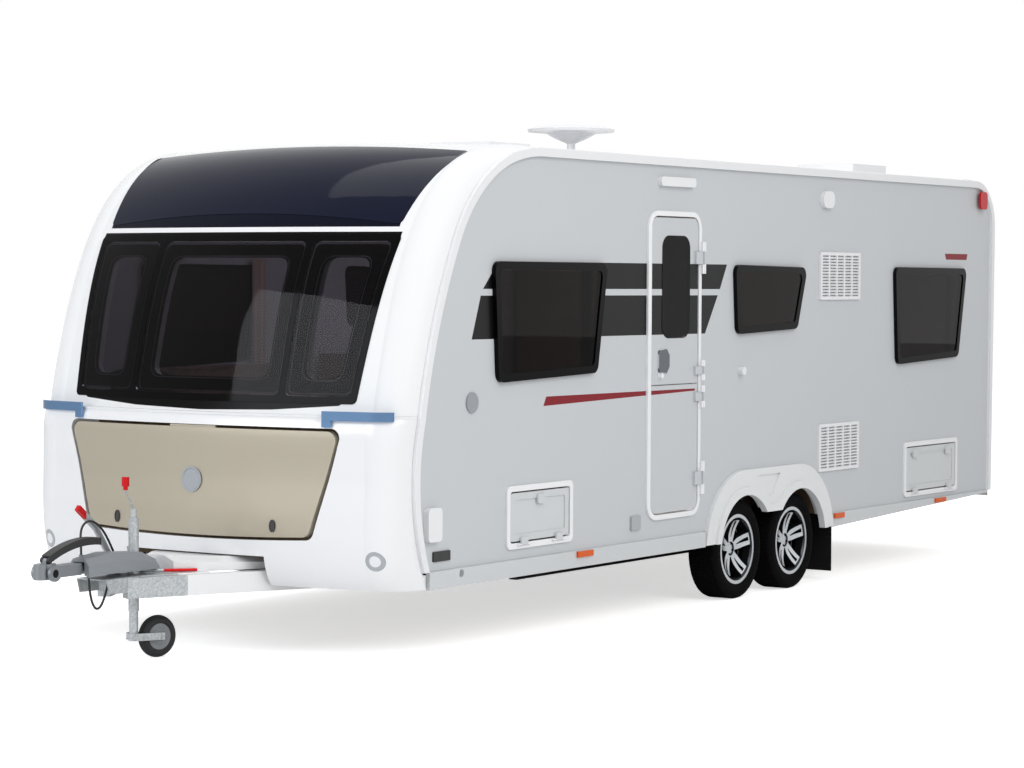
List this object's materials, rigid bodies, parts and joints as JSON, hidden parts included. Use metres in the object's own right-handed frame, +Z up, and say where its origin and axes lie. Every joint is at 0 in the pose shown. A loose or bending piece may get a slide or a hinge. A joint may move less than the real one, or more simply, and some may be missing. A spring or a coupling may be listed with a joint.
{
  "type": "twin-axle touring caravan",
  "caption": "White and grey touring caravan on two close-set axles, with a curved glazed front, a drawbar with a jockey wheel, a split door, lockers and corner steadies.",
  "frame": {"origin": "on the ground, in the middle of the overall length and width", "axes": "+Z up, -Y towards the coupling, +X towards the door side"},
  "size_m": [2.3366, 8.0244, 2.69],
  "materials": {
    "white_moulding": "gloss moulded white",
    "white_sheet": "painted white sheet",
    "grey_sheet": "painted pale grey sheet",
    "champagne_sheet": "satin champagne",
    "white_rail": "white powder coated extrusion",
    "vent_plastic": "moulded white grille",
    "black_acrylic": "dark tinted acrylic",
    "black_frame": "gloss black frame",
    "bright_trim": "polished trim",
    "clear_lens": "clear lens over a bright bowl",
    "lamp_lens": "red and amber lenses",
    "galvanised": "hot-dip galvanised steel",
    "axle_steel": "black painted steel",
    "cast_head": "cast coupling, satin",
    "grey_cover": "moulded grey cover",
    "black_grip": "moulded black grip",
    "alloy": "dark machined alloy",
    "tyre_rubber": "black tyre rubber",
    "flap_rubber": "black sheet rubber",
    "floor_board": "faced plywood",
    "furniture_board": "light oak faced board",
    "upholstery": "brown quilted fabric",
    "curtain_cloth": "soft beige curtain cloth",
    "cable_sheath": "black cable sheath"
  },
  "bodies": {
    "body_shell": {"a_frame": "galvanised", "awning_rails": "white_rail", "axles": "axle_steel", "brake_cable": "cable_sheath", "chassis_rails": "galvanised", "coupling_head": "cast_head", "curtains": "curtain_cloth", "cushions": "upholstery", "door_frames": "white_moulding", "fairing": "white_moulding", "floor": "floor_board", "fridge_vents": "vent_plastic", "front_band": "black_frame", "front_lamps": "clear_lens", "front_lower": "white_moulding", "front_panes": "black_acrylic", "front_trims": "bright_trim", "front_upper": "white_moulding", "furniture": "furniture_board", "handbrake": "galvanised", "hitch_cover": "grey_cover", "jockey_tube": "galvanised", "lighting_cable": "cable_sheath", "marker_lamps": "lamp_lens", "mud_flaps": "flap_rubber", "rear_bumper": "white_moulding", "rear_panel": "white_sheet", "roof_fittings": "white_moulding", "roof_panel": "white_sheet", "roof_window": "black_acrylic", "side_skirts": "white_moulding", "side_wall_left": "grey_sheet", "side_wall_right": "grey_sheet", "wall_fittings": "white_moulding", "wheel_spats": "white_moulding", "window_frames": "black_frame", "window_panes": "black_acrylic"},
    "front_lid": {"front_lid": "champagne_sheet"},
    "door_upper": {"door_upper": "grey_sheet", "door_pane": "black_acrylic"},
    "door_lower": {"door_lower": "grey_sheet"},
    "locker_door": {"locker_door": "grey_sheet"},
    "cassette_door": {"cassette_door": "grey_sheet"},
    "coupling_handle": {"coupling_handle": "black_grip"},
    "jockey_inner": {"jockey_inner": "galvanised"},
    "jockey_fork": {"jockey_fork": "galvanised"},
    "jockey_wheel": {"jockey_wheel": "tyre_rubber"},
    "steady_front_left": {"steady_front_left": "galvanised"},
    "steady_front_right": {"steady_front_right": "galvanised"},
    "steady_rear_left": {"steady_rear_left": "galvanised"},
    "steady_rear_right": {"steady_rear_right": "galvanised"},
    "wheel_front_left": {"rim_front_left": "alloy", "tyre_front_left": "tyre_rubber"},
    "wheel_front_right": {"rim_front_right": "alloy", "tyre_front_right": "tyre_rubber"},
    "wheel_rear_left": {"rim_rear_left": "alloy", "tyre_rear_left": "tyre_rubber"},
    "wheel_rear_right": {"rim_rear_right": "alloy", "tyre_rear_right": "tyre_rubber"}
  },
  "joints": [
    {"name": "front_lid_hinge", "type": "hinge", "parent": "body_shell", "child": "front_lid", "pos_m": [0, -2.911, 1.083], "axis": [-1, 0, 0], "range_deg": [0, 55]},
    {"name": "door_upper_hinge", "type": "hinge", "parent": "body_shell", "child": "door_upper", "pos_m": [1.158, 0.038, 1.6], "axis": [0, 0, 1], "range_deg": [0, 170]},
    {"name": "door_lower_hinge", "type": "hinge", "parent": "body_shell", "child": "door_lower", "pos_m": [1.158, 0.038, 0.9], "axis": [0, 0, 1], "range_deg": [0, 170]},
    {"name": "locker_door_hinge", "type": "hinge", "parent": "body_shell", "child": "locker_door", "pos_m": [1.149, -1.587, 0.486], "axis": [0, 1, 0], "range_deg": [0, 110]},
    {"name": "cassette_door_hinge", "type": "hinge", "parent": "body_shell", "child": "cassette_door", "pos_m": [1.149, 3.031, 0.463], "axis": [0, 1, 0], "range_deg": [0, 110]},
    {"name": "coupling_handle_pivot", "type": "hinge", "parent": "body_shell", "child": "coupling_handle", "pos_m": [0, -3.944, 0.515], "axis": [1, 0, 0], "range_deg": [0, 60]},
    {"name": "jockey_lift", "type": "slide", "parent": "body_shell", "child": "jockey_inner", "axis": [0, 0, 1], "range_m": [0, 0.06]},
    {"name": "jockey_swivel", "type": "hinge", "parent": "jockey_inner", "child": "jockey_fork", "pos_m": [0, -3.345, 0.12], "axis": [0, 0, 1], "continuous": true},
    {"name": "jockey_wheel_spin", "type": "hinge", "parent": "jockey_fork", "child": "jockey_wheel", "pos_m": [0.03416, -3.2175, 0.1], "axis": [0.9659, -0.2588, 0], "continuous": true},
    {"name": "wheel_front_left_spin", "type": "hinge", "parent": "body_shell", "child": "wheel_front_left", "pos_m": [1.02, 0.538, 0.28], "axis": [1, 0, 0], "continuous": true},
    {"name": "wheel_front_right_spin", "type": "hinge", "parent": "body_shell", "child": "wheel_front_right", "pos_m": [-1.02, 0.538, 0.28], "axis": [1, 0, 0], "continuous": true},
    {"name": "wheel_rear_left_spin", "type": "hinge", "parent": "body_shell", "child": "wheel_rear_left", "pos_m": [1.02, 1.193, 0.28], "axis": [1, 0, 0], "continuous": true},
    {"name": "wheel_rear_right_spin", "type": "hinge", "parent": "body_shell", "child": "wheel_rear_right", "pos_m": [-1.02, 1.193, 0.28], "axis": [1, 0, 0], "continuous": true},
    {"name": "steady_front_left_hinge", "type": "hinge", "parent": "body_shell", "child": "steady_front_left", "pos_m": [0.82, -2.25, 0.372], "axis": [-1, 0, 0], "range_deg": [0, 34]},
    {"name": "steady_front_right_hinge", "type": "hinge", "parent": "body_shell", "child": "steady_front_right", "pos_m": [-0.82, -2.25, 0.372], "axis": [-1, 0, 0], "range_deg": [0, 34]},
    {"name": "steady_rear_left_hinge", "type": "hinge", "parent": "body_shell", "child": "steady_rear_left", "pos_m": [0.82, 3.56, 0.372], "axis": [1, 0, 0], "range_deg": [0, 34]},
    {"name": "steady_rear_right_hinge", "type": "hinge", "parent": "body_shell", "child": "steady_rear_right", "pos_m": [-0.82, 3.56, 0.372], "axis": [1, 0, 0], "range_deg": [0, 34]}
  ]
}
